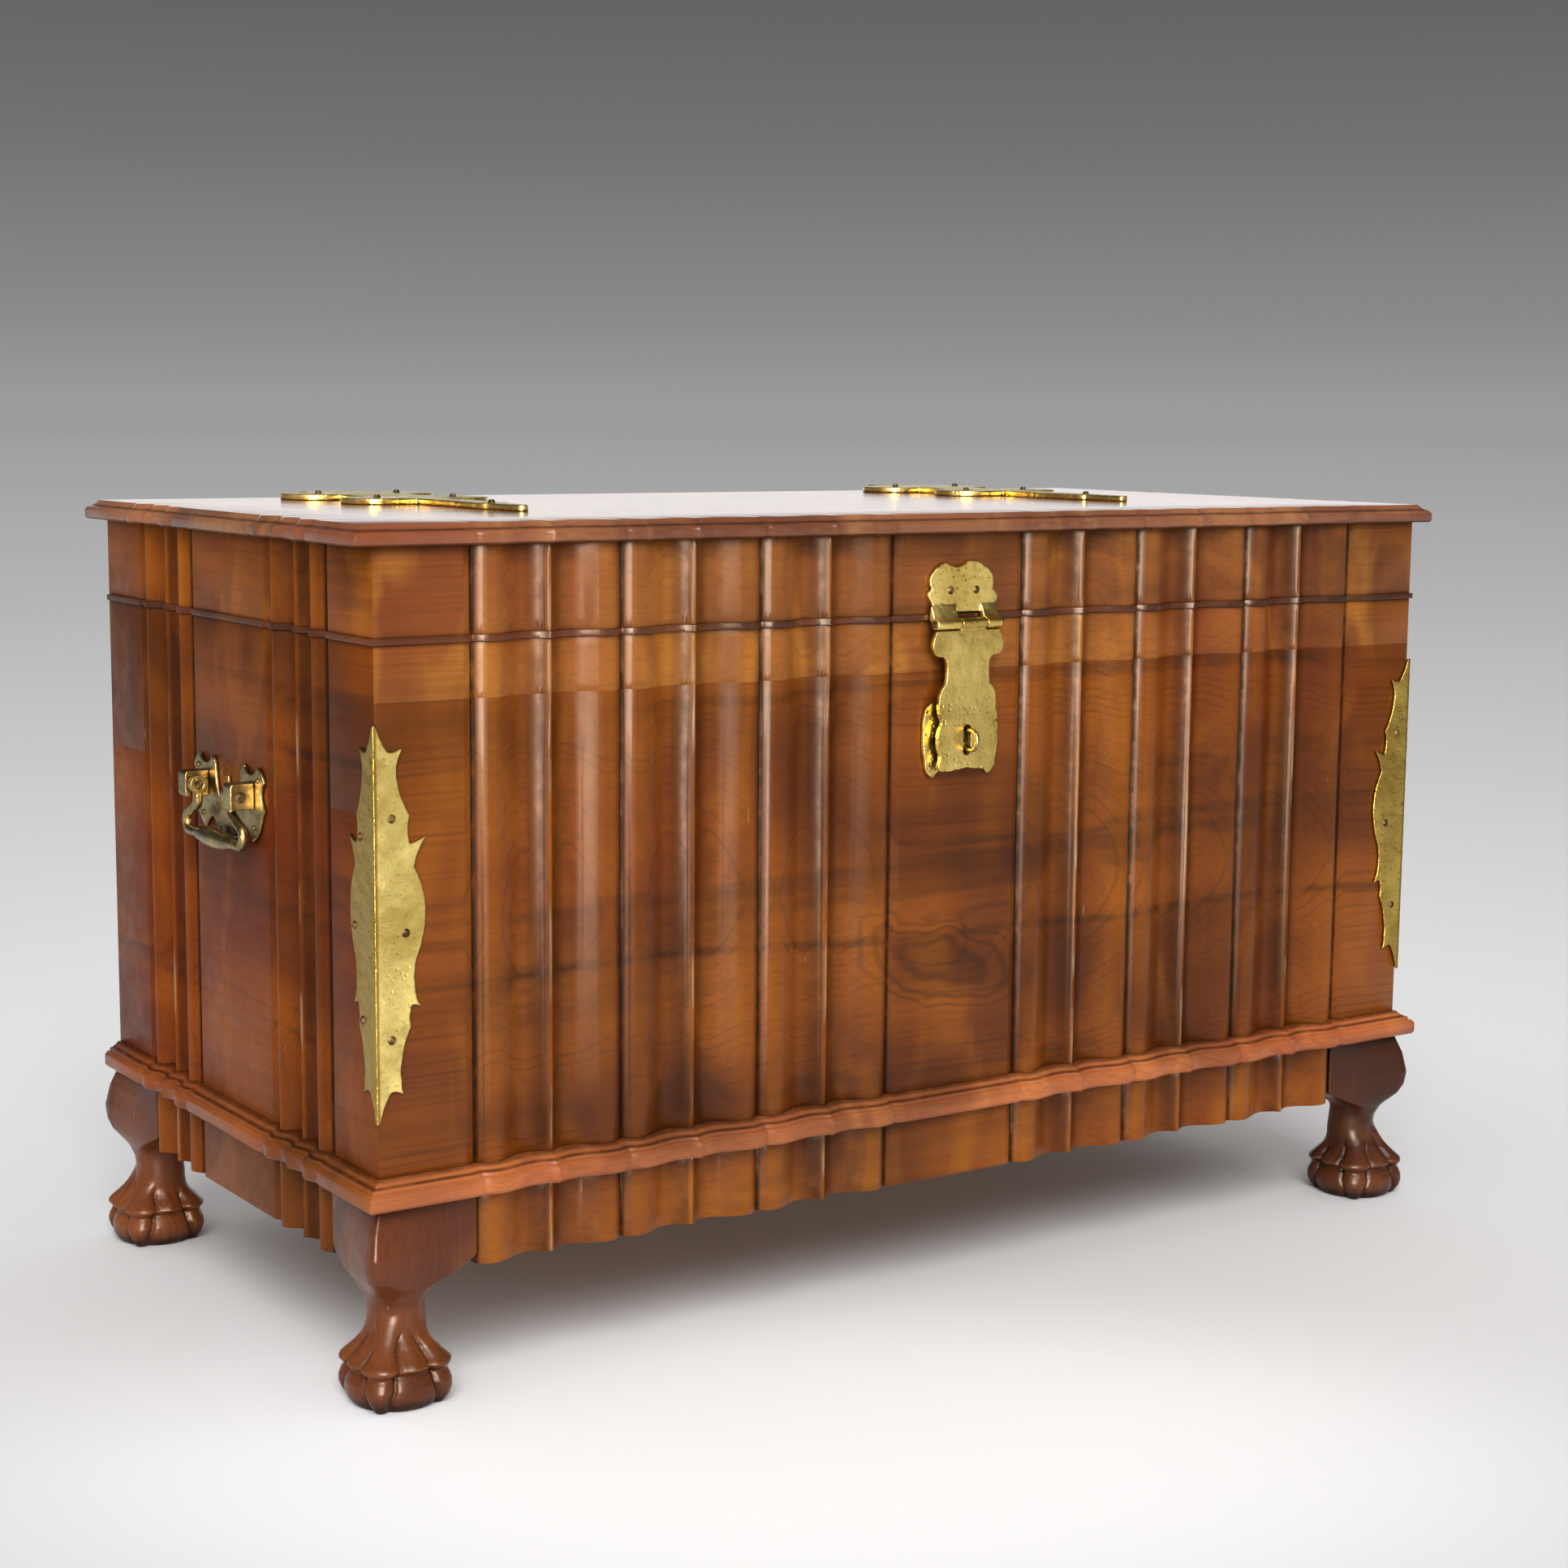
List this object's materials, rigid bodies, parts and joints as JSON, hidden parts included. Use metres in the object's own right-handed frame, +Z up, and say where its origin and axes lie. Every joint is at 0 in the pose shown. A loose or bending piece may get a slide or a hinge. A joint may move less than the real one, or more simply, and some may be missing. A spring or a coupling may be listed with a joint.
{
  "type": "chest",
  "caption": "Joined wooden chest with brace-profiled boards, hinged moulded lid, swinging hasp over a staple, bail handles, corner mounts and claw-and-ball feet.",
  "frame": {"origin": "on the floor, below the centre of the chest's overall box", "axes": "+X to the right of someone facing the front, -Y towards the front with the hasp, +Z up"},
  "size_m": [1.044, 0.5345, 0.6264],
  "materials": {
    "carcase_wood": "french polished, reddish brown",
    "moulding_wood": "french polished, warm brown",
    "plain_wood": "oiled secondary wood",
    "aged_brass": "hammered, aged and pitted",
    "dark_iron": "dark hand-made nail heads and pins"
  },
  "bodies": {
    "case": {"front_board_lower": "carcase_wood", "front_board_upper": "carcase_wood", "left_board_lower": "carcase_wood", "left_board_upper": "carcase_wood", "right_board_lower": "carcase_wood", "right_board_upper": "carcase_wood", "back_board": "plain_wood", "bottom_boards": "plain_wood", "base_rail_front": "moulding_wood", "base_rail_left": "moulding_wood", "base_rail_right": "moulding_wood", "base_rail_back": "plain_wood", "apron_front": "carcase_wood", "apron_left": "carcase_wood", "apron_right": "carcase_wood", "apron_back": "plain_wood", "glue_blocks": "plain_wood", "leg_front_left": "carcase_wood", "leg_front_right": "carcase_wood", "leg_back_left": "carcase_wood", "leg_back_right": "carcase_wood", "corner_mount_left": "aged_brass", "corner_mount_right": "aged_brass", "corner_mount_nails": "dark_iron", "staple_plate": "aged_brass", "hasp_staple": "aged_brass", "handle_plate_left": "aged_brass", "handle_plate_right": "aged_brass", "handle_posts_left": "aged_brass", "handle_posts_right": "aged_brass", "handle_pins": "aged_brass", "handle_nails": "dark_iron", "hinge_leaf_left": "aged_brass", "hinge_leaf_right": "aged_brass", "hinge_leaf_nails": "dark_iron", "hinge_pins": "dark_iron"},
    "lid": {"lid_board": "moulding_wood", "lid_rail_front": "carcase_wood", "lid_rail_left": "carcase_wood", "lid_rail_right": "carcase_wood", "lid_rail_back": "plain_wood", "lid_lip_front": "moulding_wood", "lid_lip_left": "moulding_wood", "lid_lip_right": "moulding_wood", "hinge_strap_left": "aged_brass", "hinge_strap_right": "aged_brass", "hinge_strap_nails": "dark_iron", "hasp_plate": "aged_brass", "hasp_plate_nails": "dark_iron", "hasp_pin": "dark_iron"},
    "hasp": {"hasp_strap": "aged_brass"},
    "bail_left": {"bail_left": "aged_brass"},
    "bail_right": {"bail_right": "aged_brass"}
  },
  "joints": [
    {"name": "lid_hinge", "type": "hinge", "parent": "case", "child": "lid", "pos_m": [0, 0.25775, 0.537], "axis": [-1, 0, 0], "range_deg": [0, 105]},
    {"name": "hasp_swing", "type": "hinge", "parent": "lid", "child": "hasp", "pos_m": [0, -0.25075, 0.5346], "axis": [-1, 0, 0], "range_deg": [0, 150]},
    {"name": "bail_left_swing", "type": "hinge", "parent": "case", "child": "bail_left", "pos_m": [-0.514, 0.00525, 0.411], "axis": [0, 1, 0], "range_deg": [0, 100]},
    {"name": "bail_right_swing", "type": "hinge", "parent": "case", "child": "bail_right", "pos_m": [0.514, 0.00525, 0.411], "axis": [0, -1, 0], "range_deg": [0, 100]}
  ]
}
